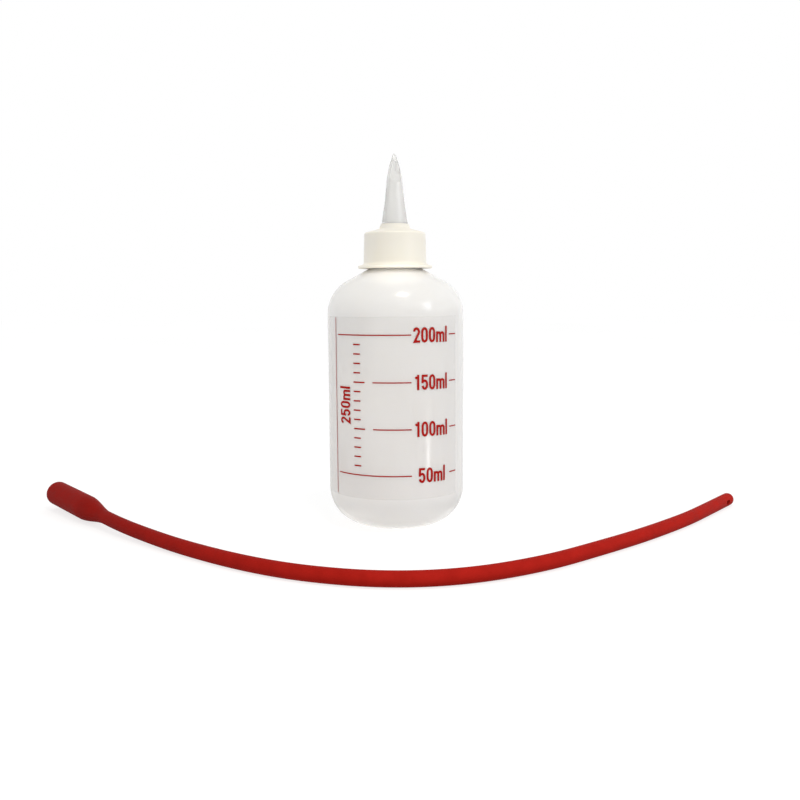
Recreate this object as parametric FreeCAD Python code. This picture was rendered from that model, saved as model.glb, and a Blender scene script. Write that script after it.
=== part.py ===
import FreeCAD, Part
import math
import os

# A 250 ml squeeze feeding bottle with a screw-on nozzle closure and a loose rubber feeding tube.
# Millimetres, +Z up. The origin is the centre of the bottle's base, on the surface it stands on.
# The front of the printed scale faces -Y.

# ---- bottle
BODY_R = 30.0             # outer radius of the cylindrical body
WALL = 1.6
BASE_CORNER = 16.4        # radius of the round corner between base and wall
BASE_RING_W = 2.4         # width of the flat ring that it stands on
PUSH_UP = 3.0             # height of the domed base above that ring
DOME_SHARE = 0.75         # share of that height which the dome has half way out
SHOULDER_Z = 93.7         # where the body's straight wall ends
SHOULDER_W = 17.8         # half axes of the ellipse that the shoulder follows
SHOULDER_H = 16.6
SLOPE_R = 21.0            # inside this radius the shoulder is a straight slope up to the neck
NECK_BASE_R = 11.5        # plain band under the thread
NECK_STEP_Z = 113.4       # top of that band
NECK_R = 10.85            # thread root
NECK_BORE_R = 8.9
NECK_TOP = 127.0
NECK_LIP = 0.4            # chamfer of the mouth's outer edge

# ---- thread of a 24 mm finish, right-hand, shared by the neck and the cap
PITCH = 3.175
NECK_TURNS = 1.5
CAP_TURNS = 1.0
THREAD_Z = 120.0          # height of the neck ridge's middle, where it starts
NECK_CREST_R = 11.85
CAP_CREST_R = 11.25
RIDGE_ROOT_W = 2.0        # width of a ridge at its root
RIDGE_CREST_W = 0.8       # and at its crest
RIDGE_SINK = 0.3          # how far a ridge is sunk into its wall

# ---- scale label, a clear film wrapped on the body
LABEL_T = 0.15
LABEL_LOW = 16.0
LABEL_HIGH = 92.9
LABEL_RIGHT_DEG = 58.5    # its right end, counted from -Y towards +X
LABEL_ARC_DEG = 183.5     # and how far it reaches round from there, to the left

# ---- screw cap
CAP_LOW = 113.3
CAP_FLANGE_R = 16.3
CAP_FLANGE_T = 1.3        # thickness at the flange's rim
CAP_FLANGE_ROUND = 0.45
CAP_SKIRT_Z = 115.9       # where the flange's slope meets the wall
CAP_SLOPE_DIP = (0.45, 0.2)    # how far the middle of that slope dips, inwards and down
CAP_LOW_R = 13.8
CAP_HIGH_R = 13.45
CAP_EDGE_Z = 129.0        # top of the wall's rounded edge
CAP_EDGE_ROUND = 1.0
CAP_EDGE_DEG = 78.0       # the edge turns this far, and the top slopes on up to the boss
CAP_BORE_R = 12.3         # plain wall inside, at the thread's root
CAP_LEAD = 0.5            # chamfer of the bore's lower end
CAP_PLATE_LOW = 128.0     # underside of the top plate
CAP_PLATE_HIGH = 130.5    # top of the plate at the boss
BOSS_TOP = 132.6
BOSS_LOW_R = 6.7
BOSS_HIGH_R = 6.2
BOSS_ROUND = 0.25
BOSS_BORE_R = 5.85

# ---- nozzle
SHANK_R = 5.76            # turns freely in the cap's boss
SHANK_TOP = 132.5
SEAT_GAP = 0.05           # clearance above and below the seat flange
SEAT_R = 10.6
PLUG_DEPTH = 4.5          # plug skirt in the neck's bore
PLUG_R = 8.82
PLUG_LEAD = (0.35, 0.6)   # taper of the skirt's lower end, inwards and up
PLUG_WALL = 0.9
PLUG_SLOPE = 1.6          # height of the slope from the skirt's inside to the cone's
CONE = ((5.68, 132.8), (4.2, 143.0), (3.47, 150.2))    # outer radius and height, going up
POINT_MID = (2.55, 156.0)
POINT_TOP = (0.3, 162.9)
CONE_WALL = 0.9
BORE_TOP = (1.0, 159.8)   # radius and height where the hollow ends
OUTLET_LOW_Z = 150.4      # the slanting cut: a small ledge, then a flat face up to the point
OUTLET_LOW_Y = -3.0
OUTLET_HIGH_Z = 163.2
OUTLET_HIGH_Y = 0.35
OUTLET_TURN_DEG = 14.0    # the cut faces this far round from -Y towards +X

# ---- feeding tube, 18 French
TUBE_R = 3.0
LUMEN_R = 1.6
FUNNEL_R = 5.65
FUNNEL_BORE_R = 4.6
FUNNEL_LONG = 35.0        # length of the funnel's cylinder
FUNNEL_TAPER = 19.0       # length of the shoulder that narrows to the tube
FUNNEL_FLARE = 0.2        # share of the shoulder along which the lumen stays narrow
FUNNEL_LIP = 0.5          # rounding of the mouth
FUNNEL_BORE_LONG = 34.0   # length of the bore's cylinder
TIP_LONG = 20.0           # the tube's closed end, with its two eyes
TIP_SOLID = 3.6           # thickness of the closed end
EYE_LONG = 4.2
EYE_WIDE = 2.0
EYE_BACK = (9.2, 15.5)    # distance of each eye from the closed end
ARC_SHARE = 0.45          # share of the shorter run that each arc takes
# The centreline from the funnel's neck to the start of the tip, on the surface in front of the bottle.
# At the funnel it comes down from the thicker funnel's height.
ROUTE = (
    (-129.0, -11.6, 5.2),
    (-119.6, -22.2, 4.65),
    (-104.0, -36.6, 3.7),
    (-84.0, -54.3, 3.0),
    (-57.0, -75.5, 3.0),
    (-32.5, -88.9, 3.0),
    (-4.0, -96.5, 3.0),
    (24.5, -93.6, 3.0),
    (54.5, -78.8, 3.0),
    (81.5, -56.9, 3.0),
    (102.5, -38.9, 3.0),
    (126.0, -15.6, 3.0),
    (137.8, -1.7, 3.0),
    (147.9, 10.6, 3.0),
)

PAST = 1.0                # how far a cutting solid runs past what it cuts

V = FreeCAD.Vector
UP = V(0, 0, 1)


def at(r, z):
    """A point of a turned profile: radius and height."""
    return V(r, 0, z)


def line(a, b):
    return Part.LineSegment(a, b).toShape()


def lines(*points):
    return [line(a, b) for a, b in zip(points, points[1:])]


def arc(a, middle, b):
    return Part.Arc(a, middle, b).toShape()


def ellipse_arc(centre, rx, rz, last):
    """An arc of an ellipse from straight out of the centre up to an angle. rx is at least rz."""
    ellipse = Part.Ellipse(centre + V(rx, 0, 0), centre + V(0, 0, rz), centre)
    return Part.ArcOfEllipse(ellipse, 0, last).toShape()


def corner(centre, radius, first_deg, last_deg):
    """An arc about a centre in the profile's plane, between two angles from +X towards +Z."""
    def on_arc(deg):
        a = math.radians(deg)
        return centre + V(radius * math.cos(a), 0, radius * math.sin(a))
    return arc(on_arc(first_deg), on_arc((first_deg + last_deg) / 2), on_arc(last_deg))


def turned(edges):
    """The solid that a closed profile makes when it is turned about the Z axis."""
    face = Part.Face(Part.Wire(Part.__sortEdges__(edges)))
    return face.revolve(V(0, 0, 0), UP, 360)


def closed(edges, first, last):
    """The edges, closed from last to the Z axis and along it to first, which is on the axis."""
    return edges + lines(last, at(0, last.z), first)


def one_solid(shape):
    """The single solid that a boolean result holds."""
    solids = shape.Solids
    if len(solids) != 1:
        raise ValueError("expected one solid, found %d" % len(solids))
    return solids[0]


def ridge(turns, root_r, crest_r, sink, low_z):
    """A helical thread ridge that stands from root_r to crest_r. sink buries its root in the wall."""
    helix = Part.makeHelix(PITCH, PITCH * turns, root_r)
    outline = lines(
        at(root_r + sink, -RIDGE_ROOT_W / 2),
        at(crest_r, -RIDGE_CREST_W / 2),
        at(crest_r, RIDGE_CREST_W / 2),
        at(root_r + sink, RIDGE_ROOT_W / 2),
        at(root_r + sink, -RIDGE_ROOT_W / 2),
    )
    solid = Part.Wire(helix).makePipeShell([Part.Wire(outline)], True, True)
    if solid.Volume < 0:
        solid.reverse()
    solid.translate(V(0, 0, low_z))
    return solid


# ---------------------------------------------------------------- bottle


def make_bottle():
    ring_out = BODY_R - BASE_CORNER
    ring_in = ring_out - BASE_RING_W
    shoulder_r = BODY_R - SHOULDER_W
    slope_angle = math.acos((SLOPE_R - shoulder_r) / SHOULDER_W)

    def skin(inset, neck_r):
        """The outline from the axis at the base up to the neck, moved inwards."""
        low = inset
        rx, rz = SHOULDER_W - inset, SHOULDER_H - inset
        slope_low = at(shoulder_r + rx * math.cos(slope_angle), SHOULDER_Z + rz * math.sin(slope_angle))
        steepness = rz / rx / math.tan(slope_angle)
        dome_top = PUSH_UP + inset
        dome_mid = at(ring_in / 2, low + PUSH_UP * DOME_SHARE)
        return [
            arc(at(0, dome_top), dome_mid, at(ring_in, low)),
            line(at(ring_in, low), at(ring_out, low)),
            corner(at(ring_out, BASE_CORNER), BASE_CORNER - inset, -90, 0),
            line(at(BODY_R - inset, BASE_CORNER), at(BODY_R - inset, SHOULDER_Z)),
            ellipse_arc(at(shoulder_r, SHOULDER_Z), rx, rz, slope_angle),
            line(slope_low, at(neck_r, slope_low.z + steepness * (slope_low.x - neck_r))),
        ]

    outer = skin(0, NECK_BASE_R)
    outer += lines(
        outer[-1].Vertexes[-1].Point,
        at(NECK_BASE_R, NECK_STEP_Z),
        at(NECK_R, NECK_STEP_Z + NECK_BASE_R - NECK_R),
        at(NECK_R, NECK_TOP - NECK_LIP),
        at(NECK_R - NECK_LIP, NECK_TOP),
    )
    solid = turned(closed(outer, at(0, PUSH_UP), at(NECK_R - NECK_LIP, NECK_TOP)))

    inner = skin(WALL, NECK_BORE_R)
    inner += lines(inner[-1].Vertexes[-1].Point, at(NECK_BORE_R, NECK_TOP + PAST))
    hollow = turned(closed(inner, at(0, PUSH_UP + WALL), at(NECK_BORE_R, NECK_TOP + PAST)))
    thread = ridge(NECK_TURNS, NECK_R, NECK_CREST_R, -RIDGE_SINK, THREAD_Z)
    return one_solid(solid.cut(hollow).fuse(thread))


def make_label():
    """The clear film that carries the scale. Its two ends don't meet round the back."""
    start = LABEL_RIGHT_DEG - LABEL_ARC_DEG - 90
    height = LABEL_HIGH - LABEL_LOW
    outer = Part.makeCylinder(BODY_R + LABEL_T, height, at(0, LABEL_LOW), UP, LABEL_ARC_DEG)
    inner = Part.makeCylinder(BODY_R, height, at(0, LABEL_LOW), UP, LABEL_ARC_DEG)
    film = outer.cut(inner)
    film.rotate(V(0, 0, 0), UP, start)
    return one_solid(film)


# ---------------------------------------------------------------- closure


def make_cap():
    rim = CAP_FLANGE_ROUND
    edge = CAP_EDGE_ROUND
    flange_top = CAP_LOW + CAP_FLANGE_T
    edge_centre = at(CAP_HIGH_R - edge, CAP_EDGE_Z - edge)
    dip_in, dip_down = CAP_SLOPE_DIP
    profile = lines(at(CAP_BORE_R + CAP_LEAD, CAP_LOW), at(CAP_FLANGE_R - rim, CAP_LOW))
    profile.append(corner(at(CAP_FLANGE_R - rim, CAP_LOW + rim), rim, -90, 0))
    profile += lines(at(CAP_FLANGE_R, CAP_LOW + rim), at(CAP_FLANGE_R, flange_top - rim))
    profile.append(corner(at(CAP_FLANGE_R - rim, flange_top - rim), rim, 0, 90))
    profile.append(
        arc(
            at(CAP_FLANGE_R - rim, flange_top),
            at((CAP_FLANGE_R + CAP_LOW_R) / 2 - dip_in, (flange_top + CAP_SKIRT_Z) / 2 - dip_down),
            at(CAP_LOW_R, CAP_SKIRT_Z),
        )
    )
    profile += lines(at(CAP_LOW_R, CAP_SKIRT_Z), at(CAP_HIGH_R, edge_centre.z))
    profile.append(corner(edge_centre, edge, 0, CAP_EDGE_DEG))
    shoulder = profile[-1].Vertexes[-1].Point
    profile += lines(
        shoulder,
        at(BOSS_LOW_R, CAP_PLATE_HIGH),
        at(BOSS_HIGH_R, BOSS_TOP - BOSS_ROUND),
    )
    boss_in = BOSS_HIGH_R - BOSS_ROUND
    profile.append(corner(at(boss_in, BOSS_TOP - BOSS_ROUND), BOSS_ROUND, 0, 90))
    profile += lines(
        at(boss_in, BOSS_TOP),
        at(BOSS_BORE_R, BOSS_TOP),
        at(BOSS_BORE_R, CAP_PLATE_LOW),
        at(CAP_BORE_R, CAP_PLATE_LOW),
        at(CAP_BORE_R, CAP_LOW + CAP_LEAD),
        at(CAP_BORE_R + CAP_LEAD, CAP_LOW),
    )
    thread = ridge(CAP_TURNS, CAP_BORE_R, CAP_CREST_R, RIDGE_SINK, THREAD_Z - PITCH / 2)
    return one_solid(turned(profile).fuse(thread))


def make_nozzle():
    seat_low = NECK_TOP + SEAT_GAP
    seat_high = CAP_PLATE_LOW - SEAT_GAP
    plug_low = NECK_TOP - PLUG_DEPTH
    plug_in = PLUG_R - PLUG_WALL
    lead_in, lead_up = PLUG_LEAD
    cone = [at(*p) for p in CONE]
    outer = lines(
        at(plug_in, plug_low),
        at(PLUG_R - lead_in, plug_low),
        at(PLUG_R, plug_low + lead_up),
        at(PLUG_R, seat_low),
        at(SEAT_R, seat_low),
        at(SEAT_R, seat_high),
        at(SHANK_R, seat_high),
        at(SHANK_R, SHANK_TOP),
        *cone,
    )
    outer.append(arc(cone[-1], at(*POINT_MID), at(*POINT_TOP)))
    outer += lines(
        at(*POINT_TOP),
        at(0, POINT_TOP[1]),
        at(0, plug_low),
        at(plug_in, plug_low),
    )
    solid = turned(outer)

    hollow = lines(
        at(0, plug_low - PAST),
        at(plug_in, plug_low - PAST),
        at(plug_in, seat_low - PLUG_SLOPE),
        at(SHANK_R - CONE_WALL, seat_low),
        *[at(r - CONE_WALL, z) for r, z in CONE],
        at(*BORE_TOP),
        at(0, BORE_TOP[1]),
        at(0, plug_low - PAST),
    )
    wide = CONE[0][0]
    outlet_side = lines(
        V(-wide, -wide, OUTLET_LOW_Z),
        V(-wide, OUTLET_LOW_Y, OUTLET_LOW_Z),
        V(-wide, OUTLET_HIGH_Y, OUTLET_HIGH_Z),
        V(-wide, -wide, OUTLET_HIGH_Z),
        V(-wide, -wide, OUTLET_LOW_Z),
    )
    outlet = Part.Face(Part.Wire(outlet_side)).extrude(V(2 * wide, 0, 0))
    outlet.rotate(V(0, 0, 0), UP, OUTLET_TURN_DEG)
    return one_solid(solid.cut(turned(hollow)).cut(outlet))


# ---------------------------------------------------------------- feeding tube


def round_corners(points):
    """Straight runs joined by tangent arcs. Prints the radii and returns the path as one wire."""
    edges, here, radii = [], points[0], []
    for before, corner_at, after in zip(points, points[1:], points[2:]):
        back, ahead = before - corner_at, after - corner_at
        shorter = min(back.Length, ahead.Length)
        back.normalize()
        ahead.normalize()
        turn = math.pi - back.getAngle(ahead)
        cut = ARC_SHARE * shorter
        radius = cut / math.tan(turn / 2)
        first, last = corner_at + back * cut, corner_at + ahead * cut
        middle_way = back + ahead
        middle_way.normalize()
        middle = corner_at + middle_way * (radius / math.cos(turn / 2) - radius)
        edges += [line(here, first), arc(first, middle, last)]
        here = last
        radii.append(round(radius))
    edges.append(line(here, points[-1]))
    print("tube arc radii (mm):", radii)
    return Part.Wire(edges)


def swept(path, radius):
    start = path.Edges[0]
    heading = start.Vertexes[1].Point - start.Vertexes[0].Point
    ring = Part.Wire(Part.Circle(start.Vertexes[0].Point, heading, radius).toShape())
    solid = path.makePipeShell([ring], True, False)
    if solid.Volume < 0:
        solid.reverse()
    return solid


def make_shaft(points):
    path = round_corners(points)
    solid = swept(path, TUBE_R).cut(swept(path, LUMEN_R))
    expected = math.pi * (TUBE_R ** 2 - LUMEN_R ** 2) * path.Length
    print("tube shaft: %.1f mm long, volume %.4f of section times length"
          % (path.Length, solid.Volume / expected))
    return one_solid(solid)


def laid(solid, start, heading):
    """A piece made along +Z, laid with its origin at start, its +Z along heading and its +Y level."""
    side = heading.cross(UP)
    turn = FreeCAD.Rotation(side.cross(heading), side, heading, "ZYX")
    placed = solid.copy()
    placed.Placement = FreeCAD.Placement(start, turn)
    return placed


def make_funnel(points):
    """The wide end that is pushed over the nozzle. It is turned with its neck at the origin, mouth up."""
    taper, top, lip = FUNNEL_TAPER, FUNNEL_TAPER + FUNNEL_LONG, FUNNEL_LIP
    mid_r = (TUBE_R + FUNNEL_R) / 2
    rise = Part.BSplineCurve()
    rise.interpolate(
        [at(TUBE_R, 0), at(mid_r, taper / 2), at(FUNNEL_R, taper)],
        InitialTangent=UP,
        FinalTangent=UP,
    )
    profile = [rise.toShape(), line(at(FUNNEL_R, taper), at(FUNNEL_R, top - lip))]
    profile.append(corner(at(FUNNEL_R - lip, top - lip), lip, 0, 90))
    profile += lines(
        at(FUNNEL_R - lip, top),
        at(FUNNEL_BORE_R, top),
        at(FUNNEL_BORE_R, top - FUNNEL_BORE_LONG),
        at(LUMEN_R, taper * FUNNEL_FLARE),
        at(LUMEN_R, 0),
        at(TUBE_R, 0),
    )
    return laid(one_solid(turned(profile)), points[0], points[0] - points[1])


def eye_cutter(side, height):
    """An oval prism that crosses the tube's wall on the +Y side, or on the -Y side."""
    reach = TUBE_R + PAST
    half = (EYE_LONG - EYE_WIDE) / 2
    ends = [
        Part.makeCylinder(EYE_WIDE / 2, reach, V(0, 0, height + offset), V(0, side, 0))
        for offset in (-half, half)
    ]
    low_y = 0 if side > 0 else -reach
    middle = Part.makeBox(EYE_WIDE, reach, 2 * half, V(-EYE_WIDE / 2, low_y, height - half))
    return ends[0].fuse(middle).fuse(ends[1])


def make_tip(points):
    """The closed end, with a blind lumen and an oval eye through each side wall."""
    outside = turned(
        lines(at(0, 0), at(TUBE_R, 0), at(TUBE_R, TIP_LONG - TUBE_R))
        + [corner(at(0, TIP_LONG - TUBE_R), TUBE_R, 0, 90)]
        + [line(at(0, TIP_LONG), at(0, 0))]
    )
    lumen_top = TIP_LONG - TIP_SOLID
    lumen = turned(
        lines(at(0, -PAST), at(LUMEN_R, -PAST), at(LUMEN_R, lumen_top - LUMEN_R))
        + [corner(at(0, lumen_top - LUMEN_R), LUMEN_R, 0, 90)]
        + [line(at(0, lumen_top), at(0, -PAST))]
    )
    tip = outside.cut(lumen)
    for side, back in zip((1, -1), EYE_BACK):
        tip = tip.cut(eye_cutter(side, TIP_LONG - back))
    return laid(one_solid(tip), points[-1], points[-1] - points[-2])


def main():
    os.makedirs("parts", exist_ok=True)
    route = [V(*p) for p in ROUTE]
    shapes = {
        "bottle": make_bottle(),
        "scale_label": make_label(),
        "screw_cap": make_cap(),
        "nozzle": make_nozzle(),
        "tube_funnel": make_funnel(route),
        "tube_shaft": make_shaft(route),
        "tube_tip": make_tip(route),
    }
    for node, shape in shapes.items():
        if not shape.isValid():
            raise ValueError(node + " is not a valid solid")
        box = shape.BoundBox
        print("%-12s %9.1f mm3  x %.2f..%.2f  y %.2f..%.2f  z %.2f..%.2f" % (
            node, shape.Volume, box.XMin, box.XMax, box.YMin, box.YMax, box.ZMin, box.ZMax))
        shape.exportStep("parts/%s.step" % node)


main()
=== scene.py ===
import bpy
import bmesh
import math
from mathutils import Matrix, Vector


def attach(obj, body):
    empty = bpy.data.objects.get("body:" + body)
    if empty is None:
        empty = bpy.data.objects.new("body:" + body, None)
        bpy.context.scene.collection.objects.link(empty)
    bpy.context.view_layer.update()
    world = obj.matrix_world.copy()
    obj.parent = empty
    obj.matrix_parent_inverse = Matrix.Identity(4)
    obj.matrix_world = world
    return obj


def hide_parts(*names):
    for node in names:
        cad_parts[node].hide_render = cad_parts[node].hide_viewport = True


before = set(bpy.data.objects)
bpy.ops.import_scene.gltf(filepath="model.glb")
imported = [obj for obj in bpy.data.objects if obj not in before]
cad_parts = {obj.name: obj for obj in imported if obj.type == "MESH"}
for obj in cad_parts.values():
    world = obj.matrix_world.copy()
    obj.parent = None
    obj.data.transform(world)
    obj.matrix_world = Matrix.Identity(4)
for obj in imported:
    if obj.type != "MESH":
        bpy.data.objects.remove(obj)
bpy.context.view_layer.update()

# A squeeze feeding bottle with a screw-on nozzle closure and a loose rubber feeding tube.
# Lengths are millimetres in the CAD frame, and MM turns them into metres when a mesh is made.
# A bearing is in degrees from the front of the printed scale, which faces -Y, towards +X.
MM = 0.001

# ------------------------------------------------------------------ camera

CAMERA_AT = (1.77, -403.0, 102.0)
CAMERA_DOWN_DEG = 6.66
CAMERA_ROLL_DEG = -0.4
CAMERA_LENS = 40.73


def make_camera():
    data = bpy.data.cameras.new("camera")
    data.lens = CAMERA_LENS
    data.sensor_width = 36.0
    data.clip_start = 0.01
    data.clip_end = 20.0
    camera = bpy.data.objects.new("camera", data)
    bpy.context.scene.collection.objects.link(camera)
    aim = Matrix.Rotation(math.radians(90 - CAMERA_DOWN_DEG), 4, "X")
    roll = Matrix.Rotation(math.radians(CAMERA_ROLL_DEG), 4, "Z")
    camera.matrix_world = Matrix.Translation(Vector(CAMERA_AT) * MM) @ aim @ roll
    bpy.context.scene.camera = camera


make_camera()

# ------------------------------------------------------------------ materials


def along(tree, vector, axis, low, high):
    """0 to 1 along one axis of a vector."""
    split = tree.nodes.new("ShaderNodeSeparateXYZ")
    tree.links.new(vector, split.inputs[0])
    node = tree.nodes.new("ShaderNodeMapRange")
    node.inputs["From Min"].default_value = low
    node.inputs["From Max"].default_value = high
    tree.links.new(split.outputs[axis], node.inputs["Value"])
    return node.outputs["Result"]


def ramp(tree, factor, stops):
    """Colours, or greys where a stop is a number, along a factor."""
    node = tree.nodes.new("ShaderNodeValToRGB")
    elements = node.color_ramp.elements
    while len(elements) < len(stops):
        elements.new(0.5)
    for element, (at, value) in zip(elements, stops):
        element.position = at
        element.color = (*value, 1) if isinstance(value, tuple) else (value, value, value, 1)
    tree.links.new(factor, node.inputs["Fac"])
    return node.outputs["Color"]


def mixed(tree, factor, a, b, blend="MIX"):
    """Two colours mixed. Each value is a number, a colour or another node's output."""
    node = tree.nodes.new("ShaderNodeMix")
    node.data_type = "RGBA"
    node.blend_type = blend
    for name, value in (("Factor", factor), ("A", a), ("B", b)):
        socket = next(i for i in node.inputs if i.name == name and i.enabled)
        if isinstance(value, (float, int)):
            socket.default_value = value
        elif isinstance(value, tuple):
            socket.default_value = (*value, 1)
        else:
            tree.links.new(value, socket)
    return next(o for o in node.outputs if o.enabled)


class Shader:
    """A material with one Principled shader, and short calls for the nodes in front of it."""

    def __init__(self, name, **values):
        self.material = bpy.data.materials.new(name)
        self.material.use_nodes = True
        self.tree = self.material.node_tree
        self.nodes = self.tree.nodes
        self.links = self.tree.links
        self.shader = self.nodes["Principled BSDF"]
        self.place = self.nodes.new("ShaderNodeTexCoord").outputs["Object"]
        for socket, value in values.items():
            self.shader.inputs[socket.replace("_", " ")].default_value = value

    def stretched(self, scale):
        """The object's own coordinates, scaled by three numbers."""
        node = self.nodes.new("ShaderNodeMapping")
        node.inputs["Scale"].default_value = scale
        self.links.new(self.place, node.inputs["Vector"])
        return node.outputs["Vector"]

    def noise(self, scale, detail=3.0, roughness=0.5, stretch=None):
        """A noise pattern. scale is in cycles per metre."""
        node = self.nodes.new("ShaderNodeTexNoise")
        node.inputs["Scale"].default_value = scale
        node.inputs["Detail"].default_value = detail
        node.inputs["Roughness"].default_value = roughness
        self.links.new(self.stretched(stretch) if stretch else self.place, node.inputs["Vector"])
        return node.outputs["Fac"]

    def along_x(self, low, high):
        """0 to 1 along the object's own X, in metres."""
        return along(self.tree, self.place, "X", low, high)

    def ramp(self, factor, stops):
        return ramp(self.tree, factor, stops)

    def mixed(self, factor, a, b, blend="MIX"):
        return mixed(self.tree, factor, a, b, blend)

    def drive(self, socket, value):
        self.links.new(value, self.shader.inputs[socket])

    def bump(self, *layers):
        """Each layer is a pattern and its height in millimetres."""
        normal = None
        for pattern, height in layers:
            node = self.nodes.new("ShaderNodeBump")
            node.inputs["Strength"].default_value = 1.0
            node.inputs["Distance"].default_value = height * MM
            self.links.new(pattern, node.inputs["Height"])
            if normal:
                self.links.new(normal, node.inputs["Normal"])
            normal = node.outputs["Normal"]
        self.links.new(normal, self.shader.inputs["Normal"])


def bottle_plastic():
    """Natural LDPE: milky, satin, a little cloudier here and there."""
    s = Shader(
        "natural_ldpe", IOR=1.5, Subsurface_Weight=0.6, Subsurface_Scale=0.006,
        Subsurface_Radius=(1.0, 0.94, 0.85), Specular_IOR_Level=0.5, Transmission_Weight=0.06,
    )
    clouds = s.noise(22, detail=4)
    milk = s.ramp(clouds, [(0.3, (0.885, 0.85, 0.80)), (0.72, (0.91, 0.885, 0.845))])
    s.drive("Base Color", milk)
    s.drive("Roughness", s.ramp(s.noise(60, detail=5), [(0.3, 0.17), (0.75, 0.26)]))
    s.bump((s.noise(45, detail=2), 0.12), (s.noise(900, detail=3), 0.006))
    return s.material


def label_film():
    """A clear film, a touch greyer than the bottle behind it."""
    s = Shader("clear_film", IOR=1.48, Alpha=0.06, Specular_IOR_Level=0.5)
    haze = s.noise(35, detail=3)
    grey = s.ramp(haze, [(0.3, (0.60, 0.57, 0.56)), (0.7, (0.72, 0.70, 0.69))])
    s.drive("Base Color", grey)
    s.drive("Roughness", s.ramp(s.noise(80, detail=4), [(0.3, 0.16), (0.7, 0.26)]))
    s.bump((s.noise(30, detail=2), 0.1), (s.noise(700, detail=2), 0.004))
    return s.material


def print_red():
    """Screen-printed ink, thinner and lighter in fine specks."""
    s = Shader("red_ink", IOR=1.45, Specular_IOR_Level=0.12)
    specks = s.noise(2600, detail=4, roughness=0.6)
    red = s.ramp(specks, [(0.3, (0.32, 0.004, 0.002)), (0.8, (0.40, 0.009, 0.005))])
    s.drive("Base Color", red)
    s.drive("Roughness", s.ramp(specks, [(0.3, 0.3), (0.7, 0.5)]))
    s.bump((specks, 0.006))
    return s.material


def cap_plastic():
    """Cream polyethylene with faint flow lines from the moulding."""
    s = Shader(
        "cream_polyethylene", IOR=1.5, Subsurface_Weight=0.3, Subsurface_Scale=0.004,
        Subsurface_Radius=(1.0, 0.88, 0.68), Specular_IOR_Level=0.35, Transmission_Weight=0.04,
    )
    flow = s.noise(40, detail=4, stretch=(1, 1, 0.35))
    cream = s.ramp(flow, [(0.3, (0.82, 0.77, 0.66)), (0.7, (0.855, 0.815, 0.735))])
    s.drive("Base Color", cream)
    s.drive("Roughness", s.ramp(s.noise(120, detail=5), [(0.3, 0.30), (0.7, 0.40)]))
    s.bump((s.noise(160, detail=3), 0.015), (s.noise(1500, detail=2), 0.004))
    return s.material


def nozzle_plastic():
    """Clear to milky LDPE with draw lines along the cone."""
    s = Shader(
        "clear_ldpe", IOR=1.5, Transmission_Weight=0.66, Specular_IOR_Level=0.7,
        Subsurface_Weight=0.5, Subsurface_Scale=0.004, Subsurface_Radius=(1.0, 1.0, 0.96),
    )
    clouds = s.noise(70, detail=4)
    milk = s.ramp(clouds, [(0.3, (0.95, 0.945, 0.925)), (0.7, (0.985, 0.98, 0.965))])
    s.drive("Base Color", milk)
    s.drive("Roughness", s.ramp(s.noise(160, detail=4), [(0.3, 0.19), (0.7, 0.27)]))
    s.bump((s.noise(420, detail=3, stretch=(1, 1, 0.08)), 0.03), (s.noise(150, detail=2), 0.04))
    return s.material


def tube_rubber():
    """Red latex rubber: matte, mottled, with a trace of talc, and painted shade that darkens it towards the
    funnel.
    """
    s = Shader("red_rubber", IOR=1.45, Specular_IOR_Level=0.035)
    mottle = s.noise(140, detail=5, roughness=0.6)
    red = s.ramp(mottle, [(0.3, (0.325, 0.009, 0.005)), (0.7, (0.40, 0.013, 0.008))])
    talc = s.ramp(s.noise(1400, detail=4, roughness=0.65), [(0.56, 0.0), (0.8, 0.2)])
    dusty = s.mixed(talc, red, (0.40, 0.025, 0.018))
    # Painted shade: the red is multiplied darker towards the funnel end, standing in for light that falls
    # off there.
    painted_shade_fade = s.along_x(-0.12, 0.0)
    depth = s.ramp(painted_shade_fade, [(0.0, (0.68, 0.60, 0.58)), (1.0, (1.0, 1.0, 1.0))])
    s.drive("Base Color", s.mixed(1.0, dusty, depth, blend="MULTIPLY"))
    s.drive("Roughness", s.ramp(mottle, [(0.3, 0.5), (0.7, 0.66)]))
    s.bump((s.noise(220, detail=3), 0.06), (s.noise(3200, detail=3), 0.012))
    return s.material


def dress(obj, material):
    obj.data.materials.clear()
    obj.data.materials.append(material)


# ------------------------------------------------------------------ turned skins

SEGMENTS = 144
SEAM_DEG = (-90.0, 90.0)     # bearings of the bottle's mould parting line
SEAM_HALF_DEG = 0.8
SHARP_DEG = 35            # edges sharper than this stay crisp
AXIS_R = 1e-6             # a point this near the axis is on it


def circle(*close_to):
    """Bearings once round, with three columns at each named one."""
    even = [360 * i / SEGMENTS - 180 for i in range(SEGMENTS)]
    extra = [d + side * SEAM_HALF_DEG for d in close_to for side in (-1, 1)]
    return sorted(set(even) | set(extra))


def arc(centre, radii, first_deg, last_deg, steps):
    """Points on an ellipse's arc in the profile plane, from one angle to another, ends included."""
    points = []
    for i in range(steps + 1):
        a = math.radians(first_deg + (last_deg - first_deg) * i / steps)
        points.append((centre[0] + radii[0] * math.cos(a), centre[1] + radii[1] * math.sin(a)))
    return points


def stepped(a, b, step):
    """Points from a to b, both left out, about step apart."""
    count = max(1, round(math.dist(a, b) / step))
    return [
        tuple(p + (q - p) * i / count for p, q in zip(a, b))
        for i in range(1, count)
    ]


def ease(x, low, high):
    """0 below low, 1 above high and smooth between."""
    t = min(1.0, max(0.0, (x - low) / (high - low)))
    return t * t * (3 - 2 * t)


def outward(outline, i):
    """The unit vector at right angles to a profile, on its right-hand side going along it."""
    before = outline[max(0, i - 1)]
    after = outline[min(len(outline) - 1, i + 1)]
    dr, dz = after[0] - before[0], after[1] - before[1]
    size = math.hypot(dr, dz) or 1.0
    return dz / size, -dr / size


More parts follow.
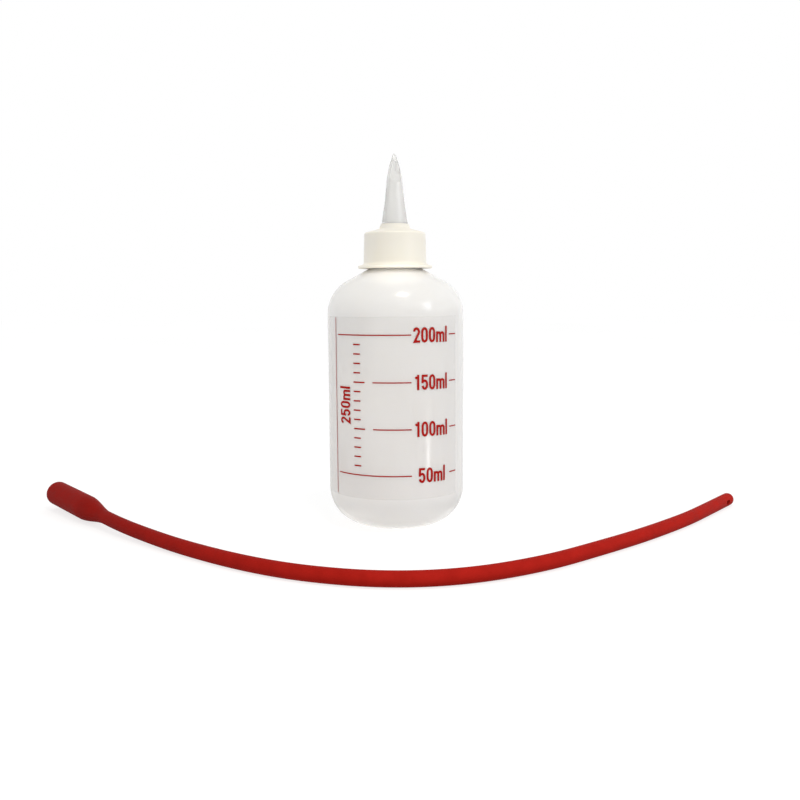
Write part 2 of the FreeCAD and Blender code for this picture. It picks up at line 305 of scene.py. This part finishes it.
def turned(name, outline, bearings, relief=None):
    """A closed skin turned about the Z axis. The outline runs anticlockwise in the profile's plane and
    is closed, or starts and ends on the axis. relief(bearing, r, z) lifts the surface, in millimetres."""
    bm = bmesh.new()
    rings = []
    for i, (r, z) in enumerate(outline):
        if r < AXIS_R:
            rings.append([bm.verts.new((0, 0, z * MM))])
            continue
        side = outward(outline, i)
        ring = []
        for bearing in bearings:
            lift = relief(bearing, r, z) if relief else 0.0
            a = math.radians(bearing)
            radius = r + lift * side[0]
            ring.append(bm.verts.new(Vector((
                radius * math.sin(a), -radius * math.cos(a), z + lift * side[1]
            )) * MM))
        rings.append(ring)
    open_ended = len(rings[0]) == 1
    pairs = list(zip(rings, rings[1:])) + ([] if open_ended else [(rings[-1], rings[0])])
    count = len(bearings)
    for low, high in pairs:
        for j in range(count):
            k = (j + 1) % count
            corners = [low[j % len(low)], low[k % len(low)], high[k % len(high)], high[j % len(high)]]
            bm.faces.new(list(dict.fromkeys(corners)))
    return finished(name, bm)


def finished(name, bm):
    """A smooth-shaded object from a bmesh."""
    bmesh.ops.recalc_face_normals(bm, faces=bm.faces)
    mesh = bpy.data.meshes.new(name)
    bm.to_mesh(mesh)
    bm.free()
    mesh.shade_smooth()
    mesh.set_sharp_from_angle(angle=math.radians(SHARP_DEG))
    piece = bpy.data.objects.new(name, mesh)
    bpy.context.scene.collection.objects.link(piece)
    return piece


def add_piece(piece, body, slot, material, *nodes):
    """Puts a new piece on its body, in place of CAD nodes."""
    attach(piece, body)
    if nodes:
        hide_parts(*nodes)
    dress(piece, material)


# ------------------------------------------------------------------ bottle

BODY_R = 30.0
WALL = 1.6
BASE_CORNER = 16.4
BASE_RING_W = 2.4
PUSH_UP = 3.0
SHOULDER_Z = 93.7
SHOULDER_W = 17.8
SHOULDER_H = 16.6
SLOPE_R = 21.0
NECK_BASE_R = 11.5
NECK_STEP_Z = 113.4
NECK_R = 10.85
NECK_BORE_R = 8.9
NECK_TOP = 127.0
LIP_ROUND = 0.4
PITCH = 3.175
THREAD_Z = 120.0
THREAD_ROOT_W = 2.0
THREAD_CREST_W = 0.8
NECK_CREST_R = 11.85
NECK_TURNS = 1.5
THREAD_RUN_OUT = 0.06     # share of a turn in which each end of a ridge runs out
SEAM_LIFT = 0.09
SEAM_GAP = 2.0            # the parting line stops this far from the label
STAND_Z = 1.2             # and where the bottle stands: below this height,
STAND_R = 9.0             # outside this radius
BAND_DRAFT = 0.02         # the plain band under the thread is this much narrower at its top
DOME_STEPS = 12
ARC_STEPS = 20
WALL_STEP = 3.2           # height of a row of faces on the wall,
SLOPE_STEP = 1.5          # on the shoulder's slope
THREAD_STEP = 0.22        # and on a thread
NEAR = 0.01               # radii closer than this are the same wall's

LABEL_LOW = 16.0
LABEL_HIGH = 92.9
LABEL_LEFT_DEG = -125.0
LABEL_RIGHT_DEG = 58.5


def thread_lift(bearing, z, start_z, turns, depth):
    """Height of a right-hand helical ridge that starts at +X, with ends that run out."""
    first = ((bearing - 90) % 360) / 360
    lift = 0.0
    for turn in range(math.ceil(turns)):
        turned_by = first + turn
        if turned_by > turns:
            break
        off = abs(z - start_z - PITCH * turned_by)
        shape = 1 - ease(off, THREAD_CREST_W / 2, THREAD_ROOT_W / 2)
        ends = ease(turned_by, 0, THREAD_RUN_OUT) * ease(turns - turned_by, 0, THREAD_RUN_OUT)
        lift = max(lift, depth * shape * ends)
    return lift


def wall_wave(bearing, z):
    """The slight unevenness of a blown wall, which fades out towards the base and the neck."""
    a = math.radians(bearing)
    inside = ease(z, 8, 30) * (1 - ease(z, 80, 104))
    return inside * (
        0.06 * math.sin(2 * a + 0.7) + 0.04 * math.sin(3 * a - z / 23) + 0.03 * math.sin(5 * a + z / 11)
    )


def seam_lift(bearing, r, z):
    """The parting line: two low ridges, left out under the label and where the bottle stands."""
    if bearing not in SEAM_DEG:
        return 0.0
    under_label = bearing < 0 and LABEL_LOW - SEAM_GAP < z < LABEL_HIGH + SEAM_GAP
    stands = z < STAND_Z and r > STAND_R
    return 0.0 if under_label or stands else SEAM_LIFT


def bottle_relief(bearing, r, z):
    if r >= NECK_R + NEAR or z <= NECK_STEP_Z:
        return wall_wave(bearing, z) + seam_lift(bearing, r, z)
    if r <= NECK_R - NEAR:
        return 0.0
    return thread_lift(bearing, z, THREAD_Z, NECK_TURNS, NECK_CREST_R - NECK_R)


def bottle_skin(inset, neck_r):
    """The profile from the axis at the base up to the neck, moved inwards by inset."""
    ring_out = BODY_R - BASE_CORNER
    ring_in = ring_out - BASE_RING_W
    shoulder_r = BODY_R - SHOULDER_W
    dome = [
        (ring_in * math.sin(a), inset + PUSH_UP * math.cos(a))
        for a in (math.pi / 2 * i / DOME_STEPS for i in range(DOME_STEPS + 1))
    ]
    lower = arc((ring_out, BASE_CORNER), (BASE_CORNER - inset,) * 2, -90, 0, ARC_STEPS)
    rx, rz = SHOULDER_W - inset, SHOULDER_H - inset
    slope_angle = math.acos((SLOPE_R - shoulder_r) / SHOULDER_W)
    upper = arc((shoulder_r, SHOULDER_Z), (rx, rz), 0, math.degrees(slope_angle), ARC_STEPS)
    slope_low = upper[-1]
    rise = rz / rx / math.tan(slope_angle) * (slope_low[0] - neck_r)
    neck_low = (neck_r, slope_low[1] + rise)
    wall = stepped(lower[-1], upper[0], WALL_STEP)
    slope = stepped(slope_low, neck_low, SLOPE_STEP) + [neck_low]
    return dome + lower + wall + upper + slope


def make_bottle():
    outside = bottle_skin(0, NECK_BASE_R)
    step_top = NECK_STEP_Z + NECK_BASE_R - NECK_R
    outside += [(NECK_BASE_R - BAND_DRAFT, NECK_STEP_Z)]
    thread_low, thread_high = (NECK_R, step_top), (NECK_R, NECK_TOP - LIP_ROUND)
    outside += [thread_low] + stepped(thread_low, thread_high, THREAD_STEP) + [thread_high]
    # The lip's arc starts a little past the thread's last point, where it would touch it.
    outside += arc((NECK_R - LIP_ROUND, NECK_TOP - LIP_ROUND), (LIP_ROUND,) * 2, 15, 90, 4)
    inner_round = LIP_ROUND / 2
    inside = arc((NECK_BORE_R + inner_round, NECK_TOP - inner_round), (inner_round,) * 2, 90, 180, 3)
    inside += reversed(bottle_skin(WALL, NECK_BORE_R))
    return turned("bottle_body", outside + inside, circle(*SEAM_DEG), bottle_relief)


bottle = make_bottle()
add_piece(bottle, "bottle", "bottle_plastic", bottle_plastic(), "bottle")

# ------------------------------------------------------------------ label film and printed scale

FILM_IN = 0.03            # how far the film's two faces stand off the body's radius
FILM_OUT = 0.11
INK_IN = 0.115
INK_OUT = 0.15
ML_MM = 0.3943            # height of one millilitre on the scale
ZERO_Z = 6.4              # where the scale's zero would be
LINE_W = 0.5
LONG_LEFT_DEG = -54.0     # the 50 and 200 lines run past the ladder, almost to the line at the edge
SHORT_LEFT_DEG = -18.6
LINE_RIGHT_DEG = 12.6
TICK_DEG = (48.9, 57.6)   # short marks right of the figures
EDGE_LINE_DEG = -57.5
LADDER_DEG = (-36.0, -25.5)
LADDER_SHORT_DEG = 4.0    # the ladder's marks between two lines are this much shorter
FIGURE_RIGHT_DEG = 46.0   # where the figures end; the lowest end a little sooner
LOWEST_RIGHT_DEG = 43.4
FIGURE_H = 6.4
LADDER_W = 0.6
EDGE_LINE_W = 0.35
EDGE_LINE_GAP = (0.8, 0.5)     # distance of its ends from the film's lower and upper edges
PATCH_DEG = 1.5           # width of a row of faces on the film
VOLUME_DEG = -45.5        # the volume is written upwards
VOLUME_TOP = 63.4
VOLUME_H = 6.1


def scale_z(ml):
    return ZERO_Z + ML_MM * ml


def on_wall(bearing, z, off):
    """A point off the bottle's outer wall, in metres."""
    r = BODY_R + wall_wave(bearing, z) + off
    a = math.radians(bearing)
    return Vector((r * math.sin(a), -r * math.cos(a), z)) * MM


def patch(bm, left_deg, right_deg, low, high, off_in, off_out):
    """Adds a thin closed sheet that lies on the wall between two bearings and two heights."""
    across = max(1, round((right_deg - left_deg) / PATCH_DEG))
    up = max(1, round((high - low) / WALL_STEP))
    faces = []
    for off in (off_in, off_out):
        grid = []
        for j in range(up + 1):
            z = low + (high - low) * j / up
            bearings = [left_deg + (right_deg - left_deg) * i / across for i in range(across + 1)]
            grid.append([bm.verts.new(on_wall(bearing, z, off)) for bearing in bearings])
        for row, above in zip(grid, grid[1:]):
            for i in range(across):
                bm.faces.new((row[i], row[i + 1], above[i + 1], above[i]))
        left = [row[0] for row in grid]
        right = [row[-1] for row in grid]
        faces.append(grid[0] + right[1:] + grid[-1][-2::-1] + left[-2:0:-1])
    inner, outer = faces
    for i in range(len(inner)):
        k = (i + 1) % len(inner)
        bm.faces.new((inner[i], inner[k], outer[k], outer[i]))


def make_film():
    bm = bmesh.new()
    patch(bm, LABEL_LEFT_DEG, LABEL_RIGHT_DEG, LABEL_LOW, LABEL_HIGH, FILM_IN, FILM_OUT)
    return finished("label_film", bm)


# The figures are drawn with one stroke width. All that follows is in units of their height, apart from
# STEP_MM, STROKE_LIFT and MITRE_LIMIT.
STROKE = 0.155
DIGIT_W = 0.48
ONE_W = 0.33
M_W = 0.72
X_HEIGHT = 0.70
ASCENDER = 1.05
ZERO_BOW = 0.26           # half heights of the round parts of a zero,
TWO_BOW = 0.22            # of a two,
FIVE_BOW = 0.265          # of a five
M_BOW = 0.14              # and of an m
ONE_FLAG = (0.08, 0.75)   # the low end of a one's flag,
ONE_FLAG_TOP = 0.86       # and the height where it meets the stem
TWO_FOOT_IN = 0.03
FIVE_FLAG_IN = (0.02, 0.03)    # how far the ends of a five's flag stand in, left and right
FIVE_WAIST = 0.44         # where a five's stem ends
LETTER_GAP = 0.075
STEP_MM = 1.0             # longest straight piece of a stroke on the round wall
STROKE_LIFT = 0.004       # a figure's later strokes lie this much higher, so that no two share a face
MITRE_LIMIT = 0.5         # a stroke's corner reaches out at most 1 / MITRE_LIMIT times half its width


def digit_zero():
    rx, ry = (DIGIT_W - STROKE) / 2, ZERO_BOW
    top = arc((DIGIT_W / 2, 1 - STROKE / 2 - ry), (rx, ry), 0, 180, 10)
    low = arc((DIGIT_W / 2, STROKE / 2 + ry), (rx, ry), 180, 360, 10)
    return [top + low + top[:1]], DIGIT_W


def digit_one():
    stem = DIGIT_W / 2 + STROKE / 6
    flag = [(stem - STROKE / 2, ONE_FLAG_TOP), ONE_FLAG]
    return [[(stem, 0), (stem, 1)], flag], ONE_W + ONE_FLAG[0]


def digit_two():
    rx, ry = (DIGIT_W - STROKE) / 2, TWO_BOW
    bow = arc((DIGIT_W / 2, 1 - STROKE / 2 - ry), (rx, ry), 175, -25, 12)
    return [bow + [(STROKE / 2 + TWO_FOOT_IN, STROKE / 2), (DIGIT_W, STROKE / 2)]], DIGIT_W


def digit_five():
    rx, ry = (DIGIT_W - STROKE) / 2, FIVE_BOW
    top = 1 - STROKE / 2
    left_in, right_in = FIVE_FLAG_IN
    flag = [(DIGIT_W - right_in, top), (STROKE / 2 + left_in, top), (STROKE / 2, FIVE_WAIST)]
    return [flag, arc((DIGIT_W / 2, STROKE / 2 + ry), (rx, ry), 130, -165, 16)], DIGIT_W


def letter_m():
    span = (M_W - STROKE) / 2
    strokes = [[(STROKE / 2, 0), (STROKE / 2, X_HEIGHT)]]
    for left in (STROKE / 2, STROKE / 2 + span):
        centre = (left + span / 2, X_HEIGHT - STROKE / 2 - M_BOW)
        hump = arc(centre, (span / 2, M_BOW), 140, 0, 8)
        strokes.append(hump + [(left + span, 0)])
    return strokes, M_W


def letter_l():
    return [[(STROKE / 2, 0), (STROKE / 2, ASCENDER)]], STROKE


GLYPHS = {
    "0": digit_zero(), "1": digit_one(), "2": digit_two(), "5": digit_five(),
    "m": letter_m(), "l": letter_l(),
}


def ribbon(bm, path, width, place, top):
    """Adds a flat stroke along a path. place(right, up) gives a bearing and a height."""
    line = [path[0]]
    for a, b in zip(path, path[1:]):
        line += stepped(a, b, STEP_MM) + [b]
    sides = []
    for i, (x, y) in enumerate(line):
        nx, ny = outward(line, i)
        before, after = line[max(0, i - 1)], line[min(len(line) - 1, i + 1)]
        last = (x - before[0], y - before[1]) if i else (after[0] - x, after[1] - y)
        # At a corner the sides stand further out, so that the stroke keeps its width.
        square = abs(nx * last[1] - ny * last[0]) / (math.hypot(*last) or 1.0)
        half = width / 2 / max(square, MITRE_LIMIT)
        sides.append([(x + nx * half, y + ny * half), (x - nx * half, y - ny * half)])
    rows = [
        [bm.verts.new(on_wall(*place(*p), off)) for off in (INK_IN, top) for p in pair]
        for pair in sides
    ]
    for a, b in zip(rows, rows[1:]):
        for i, k in ((0, 1), (1, 3), (3, 2), (2, 0)):
            bm.faces.new((a[i], a[k], b[k], b[i]))
    for end in (rows[0], rows[-1]):
        bm.faces.new((end[0], end[1], end[3], end[2]))


def add_figures(bm, text, height, place):
    """Adds figures to the print. place(right, up) gives a bearing and a height from millimetres that
    are counted from the text's right end and its middle."""
    width = sum(GLYPHS[letter][1] for letter in text) + LETTER_GAP * (len(text) - 1)
    left = -width
    for letter in text:
        strokes, advance = GLYPHS[letter]
        for i, path in enumerate(strokes):
            scaled = [((left + x) * height, (y - 0.5) * height) for x, y in path]
            ribbon(bm, scaled, STROKE * height, place, INK_OUT + STROKE_LIFT * i)
        left += advance + LETTER_GAP


def mm_to_deg(distance):
    return math.degrees(distance / BODY_R)


def make_print():
    bm = bmesh.new()

    def mark(left_deg, right_deg, middle_z, width=LINE_W):
        patch(bm, left_deg, right_deg, middle_z - width / 2, middle_z + width / 2, INK_IN, INK_OUT)

    for ml in (50, 100, 150, 200):
        z = scale_z(ml)
        mark(LONG_LEFT_DEG if ml in (50, 200) else SHORT_LEFT_DEG, LINE_RIGHT_DEG, z)
        mark(*TICK_DEG, z)
        end = LOWEST_RIGHT_DEG if ml == 50 else FIGURE_RIGHT_DEG
        add_figures(
            bm, "%dml" % ml, FIGURE_H,
            lambda right, up, z=z, end=end: (end + mm_to_deg(right), z + up),
        )
    for ml in range(60, 200, 10):
        shorter = 0.0 if ml % 50 == 0 else LADDER_SHORT_DEG
        mark(LADDER_DEG[0], LADDER_DEG[1] - shorter, scale_z(ml), LADDER_W)
    half_line = mm_to_deg(EDGE_LINE_W) / 2
    gap_low, gap_high = EDGE_LINE_GAP
    patch(
        bm, EDGE_LINE_DEG - half_line, EDGE_LINE_DEG + half_line,
        LABEL_LOW + gap_low, LABEL_HIGH - gap_high, INK_IN, INK_OUT,
    )
    add_figures(
        bm, "250ml", VOLUME_H,
        lambda right, up: (VOLUME_DEG - mm_to_deg(up), VOLUME_TOP + right),
    )
    return finished("scale_print", bm)


film = make_film()
add_piece(film, "bottle", "label_film", label_film(), "scale_label")
scale_print = make_print()
add_piece(scale_print, "bottle", "label_film", print_red())

# ------------------------------------------------------------------ screw cap

CAP_LOW = 113.3
CAP_FLANGE_R = 16.3
CAP_FLANGE_T = 1.3
CAP_FLANGE_ROUND = 0.45
CAP_SKIRT_Z = 115.9
CAP_LOW_R = 13.8
CAP_HIGH_R = 13.45
CAP_EDGE_Z = 129.0
CAP_EDGE_ROUND = 1.0
CAP_EDGE_DEG = 78         # the edge turns this far, and the top slopes on up to the boss
FLANGE_SLOPE_DEG = (262, 190)  # the hollow slope above the flange, as angles on its ellipse
CAP_SKIRT_STEP = 0.2      # a row just above that slope keeps its edge crisp
CAP_LEAD = 0.5            # chamfer of the bore's lower end
CAP_BORE_R = 12.3
CAP_CREST_R = 11.25
CAP_TURNS = 1.0
CAP_PLATE_LOW = 128.0
CAP_PLATE_HIGH = 130.5
BOSS_TOP = 132.6
BOSS_LOW_R = 6.7
BOSS_HIGH_R = 6.2
BOSS_ROUND = 0.25
BOSS_BORE_R = 5.85
BOSS_FOOT = ((0.5, -0.05), (0.1, 0.2))     # points that soften its foot, outwards and up
INNER_EDGE = 0.1          # chamfer of the inner edges


def cap_relief(bearing, r, z):
    in_bore = abs(r - CAP_BORE_R) < NEAR and z < CAP_PLATE_LOW
    if not in_bore:
        return 0.0
    return thread_lift(bearing, z, THREAD_Z - PITCH / 2, CAP_TURNS, CAP_BORE_R - CAP_CREST_R)


def make_cap():
    rim = (CAP_FLANGE_ROUND,) * 2
    flange_in = CAP_FLANGE_R - CAP_FLANGE_ROUND
    flange_top = CAP_LOW + CAP_FLANGE_T
    slope = (flange_in - CAP_LOW_R, CAP_SKIRT_Z - flange_top)
    edge = (CAP_HIGH_R - CAP_EDGE_ROUND, CAP_EDGE_Z - CAP_EDGE_ROUND)
    boss_edge = (BOSS_HIGH_R - BOSS_ROUND, BOSS_TOP - BOSS_ROUND)
    bore_high = (CAP_BORE_R, CAP_PLATE_LOW - INNER_EDGE)
    bore_low = (CAP_BORE_R, CAP_LOW + CAP_LEAD)
    outline = [(CAP_BORE_R + CAP_LEAD, CAP_LOW)]
    outline += arc((flange_in, CAP_LOW + CAP_FLANGE_ROUND), rim, -90, 0, 5)
    outline += arc((flange_in, flange_top - CAP_FLANGE_ROUND), rim, 0, 90, 5)
    outline += arc((flange_in, CAP_SKIRT_Z), slope, *FLANGE_SLOPE_DEG, 6)
    outline += [(CAP_LOW_R, CAP_SKIRT_Z + CAP_SKIRT_STEP)]
    outline += arc(edge, (CAP_EDGE_ROUND,) * 2, 0, CAP_EDGE_DEG, 8)
    outline += [(BOSS_LOW_R + out, CAP_PLATE_HIGH + up) for out, up in BOSS_FOOT]
    outline += arc(boss_edge, (BOSS_ROUND,) * 2, 0, 90, 5)
    outline += [
        (BOSS_BORE_R + INNER_EDGE, BOSS_TOP),
        (BOSS_BORE_R, BOSS_TOP - INNER_EDGE),
        (BOSS_BORE_R, CAP_PLATE_LOW),
        (CAP_BORE_R - INNER_EDGE, CAP_PLATE_LOW),
        bore_high,
    ]
    outline += stepped(bore_high, bore_low, THREAD_STEP) + [bore_low]
    return turned("cream_screw_cap", outline, circle(), cap_relief)


screw_cap = make_cap()
add_piece(screw_cap, "screw_cap", "cap_plastic", cap_plastic(), "screw_cap")

# ------------------------------------------------------------------ nozzle

dress(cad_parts["nozzle"], nozzle_plastic())

# ------------------------------------------------------------------ feeding tube

TUBE_R = 3.0
LUMEN_R = 1.6
FUNNEL_R = 5.65
FUNNEL_BORE_R = 4.6
FUNNEL_LONG = 35.0
FUNNEL_TAPER = 19.0
FUNNEL_BORE_LONG = 34.0
FUNNEL_FLARE = 0.2        # share of the shoulder along which the lumen stays narrow
FUNNEL_LIP = 0.6          # rounding of the mouth's outer edge
BORE_LIP = 0.3            # and of its inner edge
TAPER_STEPS = 24
FUNNEL_STEP = 3.0         # length of a row of faces along the funnel's outside
BORE_STEP = 5.0           # and along its bore
CURVE_STEPS = 12          # steps of the curve in each of its spans and quarter rounds
MERGE = 1e-6              # points nearer than this, in metres, are one
# The CAD tube's points, from the funnel's neck to the start of the closed tip.
ROUTE = (
    (-129.0, -11.6, 5.2),
    (-119.6, -22.2, 4.65),
    (-104.0, -36.6, 3.7),
    (-84.0, -54.3, 3.0),
    (-57.0, -75.5, 3.0),
    (-32.5, -88.9, 3.0),
    (-4.0, -96.5, 3.0),
    (24.5, -93.6, 3.0),
    (54.5, -78.8, 3.0),
    (81.5, -56.9, 3.0),
    (102.5, -38.9, 3.0),
    (126.0, -15.6, 3.0),
    (137.8, -1.7, 3.0),
    (147.9, 10.6, 3.0),
)


def route_curve(bevel):
    """The route as a NURBS curve, with a round section where bevel isn't 0."""
    data = bpy.data.curves.new("route", "CURVE")
    data.dimensions = "3D"
    spline = data.splines.new("NURBS")
    spline.points.add(len(ROUTE) - 1)
    for point, at in zip(spline.points, ROUTE):
        point.co = (*[c * MM for c in at], 1.0)
    spline.order_u = 3
    spline.use_endpoint_u = True
    data.resolution_u = CURVE_STEPS
    data.bevel_depth = bevel * MM
    data.bevel_resolution = CURVE_STEPS
    data.use_fill_caps = True
    return bpy.data.objects.new("route", data)


def make_shaft():
    """The plain stretch of tube, and the points that its middle follows."""
    line = route_curve(0)
    path = [v.co.copy() for v in bpy.data.meshes.new_from_object(line).vertices]
    round_line = route_curve(TUBE_R)
    mesh = bpy.data.meshes.new_from_object(round_line)
    bpy.data.objects.remove(line)
    bpy.data.objects.remove(round_line)
    bm = bmesh.new()
    bm.from_mesh(mesh)
    bmesh.ops.remove_doubles(bm, verts=bm.verts, dist=MERGE)
    bpy.data.meshes.remove(mesh)
    return finished("rubber_tube_shaft", bm), path


def make_funnel():
    """The wide end, turned with its neck at the origin and its mouth up, then laid along the route."""
    top = FUNNEL_TAPER + FUNNEL_LONG
    outline = [(TUBE_R, 0.0)]
    for i in range(1, TAPER_STEPS + 1):
        t = i / TAPER_STEPS
        share = 0.5 * (t + ease(t, 0, 1))
        outline.append((TUBE_R + (FUNNEL_R - TUBE_R) * share, FUNNEL_TAPER * t))
    outline += stepped(outline[-1], (FUNNEL_R, top - FUNNEL_LIP), FUNNEL_STEP)
    outline += arc((FUNNEL_R - FUNNEL_LIP, top - FUNNEL_LIP), (FUNNEL_LIP,) * 2, 0, 90, 6)
    outline += arc((FUNNEL_BORE_R + BORE_LIP, top - BORE_LIP), (BORE_LIP,) * 2, 90, 180, 3)
    bore_end = top - FUNNEL_BORE_LONG
    outline += stepped(outline[-1], (FUNNEL_BORE_R, bore_end), BORE_STEP)
    outline += [(FUNNEL_BORE_R, bore_end), (LUMEN_R, FUNNEL_TAPER * FUNNEL_FLARE), (LUMEN_R, 0.0)]
    piece = turned("rubber_tube_funnel", outline, circle())
    neck, next_point = (Vector(p) * MM for p in ROUTE[:2])
    heading = (neck - next_point).normalized()
    turn = heading.to_track_quat("Z", "Y").to_matrix().to_4x4()
    piece.data.transform(Matrix.Translation(neck) @ turn)
    return piece


rubber = tube_rubber()
shaft, shaft_path = make_shaft()
add_piece(shaft, "tube", "tube_rubber", rubber, "tube_shaft")
funnel = make_funnel()
add_piece(funnel, "tube", "tube_rubber", rubber, "tube_funnel")
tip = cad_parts["tube_tip"]
dress(tip, rubber)

# ------------------------------------------------------------------ stage

WHITE = (1.0, 1.0, 1.0)
FLOOR_SIZE = 6.0          # in metres
FLOOR_GREY = ((0.3, 0.31), (0.7, 0.33))
FLOOR_GLOW = 0.74         # the floor gives light of its own, so that shadows on it are faint
SKY = ((0.0, 0.06), (0.35, 0.80), (0.5, 1.1), (1.0, 0.68))     # the studio's light, by height


def make_stage():
    """A pale floor that takes shadows, but sends no light back to the object and shades nothing."""
    bpy.ops.mesh.primitive_plane_add(size=FLOOR_SIZE)
    floor = bpy.context.object
    floor.name = "floor"
    s = Shader(
        "white_floor", Roughness=0.9, Specular_IOR_Level=0.0,
        Emission_Color=(*WHITE, 1), Emission_Strength=FLOOR_GLOW,
    )
    s.drive("Base Color", s.ramp(s.noise(3), FLOOR_GREY))
    dress(floor, s.material)
    floor.visible_diffuse = False
    floor.visible_glossy = False
    floor.visible_shadow = False


def make_world():
    """A soft studio, darker below. The camera sees plain white past the floor and through clear plastic."""
    world = bpy.data.worlds.new("world")
    bpy.context.scene.world = world
    world.use_nodes = True
    tree = world.node_tree
    way = tree.nodes.new("ShaderNodeTexCoord").outputs["Generated"]
    sky = ramp(tree, along(tree, way, "Z", -1.0, 1.0), SKY)
    path = tree.nodes.new("ShaderNodeLightPath")
    either = tree.nodes.new("ShaderNodeMath")
    either.operation = "MAXIMUM"
    tree.links.new(path.outputs["Is Camera Ray"], either.inputs[0])
    tree.links.new(path.outputs["Is Transmission Ray"], either.inputs[1])
    seen = mixed(tree, either.outputs[0], sky, WHITE)
    tree.links.new(seen, tree.nodes["Background"].inputs["Color"])


def add_light(data, power, color, at, aim):
    """A light that faces a point and that the camera doesn't see."""
    data.energy = power
    data.color = color
    light = bpy.data.objects.new(data.name, data)
    light.location = at * MM
    light.rotation_euler = (at - aim).to_track_quat("Z", "Y").to_euler()
    light.visible_camera = False
    bpy.context.scene.collection.objects.link(light)
    return light


def area_light(name, bearing, elevation, distance, size, power, color, aim=(0, 0, 70)):
    """A soft light that faces the object from a bearing and an elevation, in degrees."""
    a, e = math.radians(bearing), math.radians(elevation)
    way = Vector((math.sin(a) * math.cos(e), -math.cos(a) * math.cos(e), math.sin(e)))
    data = bpy.data.lights.new(name, "AREA")
    data.shape = "RECTANGLE"
    data.size, data.size_y = (s * MM for s in size)
    add_light(data, power, color, Vector(aim) + way * distance, Vector(aim))


def spot_light(name, at, aim, cone_deg, width, source, power, color):
    """A soft-edged beam that is width times as wide as it is high. It adds no gloss."""
    data = bpy.data.lights.new(name, "SPOT")
    data.spot_size = math.radians(cone_deg)
    data.spot_blend = 1.0
    data.shadow_soft_size = source * MM
    light = add_light(data, power, color, Vector(at), Vector(aim))
    light.scale = (width, 1, 1)
    light.visible_glossy = False


make_stage()
make_world()
bpy.context.scene.view_settings.view_transform = "Standard"
area_light("key", 20, 62, 620, size=(110, 110), power=0.95, color=(1.0, 0.95, 0.84))
area_light("side", 56, 24, 560, size=(120, 200), power=0.46, color=(0.94, 0.96, 1.0))
area_light("streak", 53, -9.5, 560, size=(36, 26), power=0.09, color=WHITE, aim=(0, 0, 37))
area_light("under", 0, -90, 40, size=(150, 150), power=0.056, color=(1.0, 0.97, 0.92), aim=(0, 0, 0))
spot_light(
    "under_cap", at=(0, -480, 100), aim=(0, 0, 111), cone_deg=1.3, width=3.2, source=2,
    power=5.0, color=(1.0, 0.96, 0.90),
)
spot_light(
    "left_fill", at=(-270, -480, 45), aim=(0, 0, 53), cone_deg=17, width=1, source=60,
    power=2.5, color=(1.0, 0.95, 0.89),
)
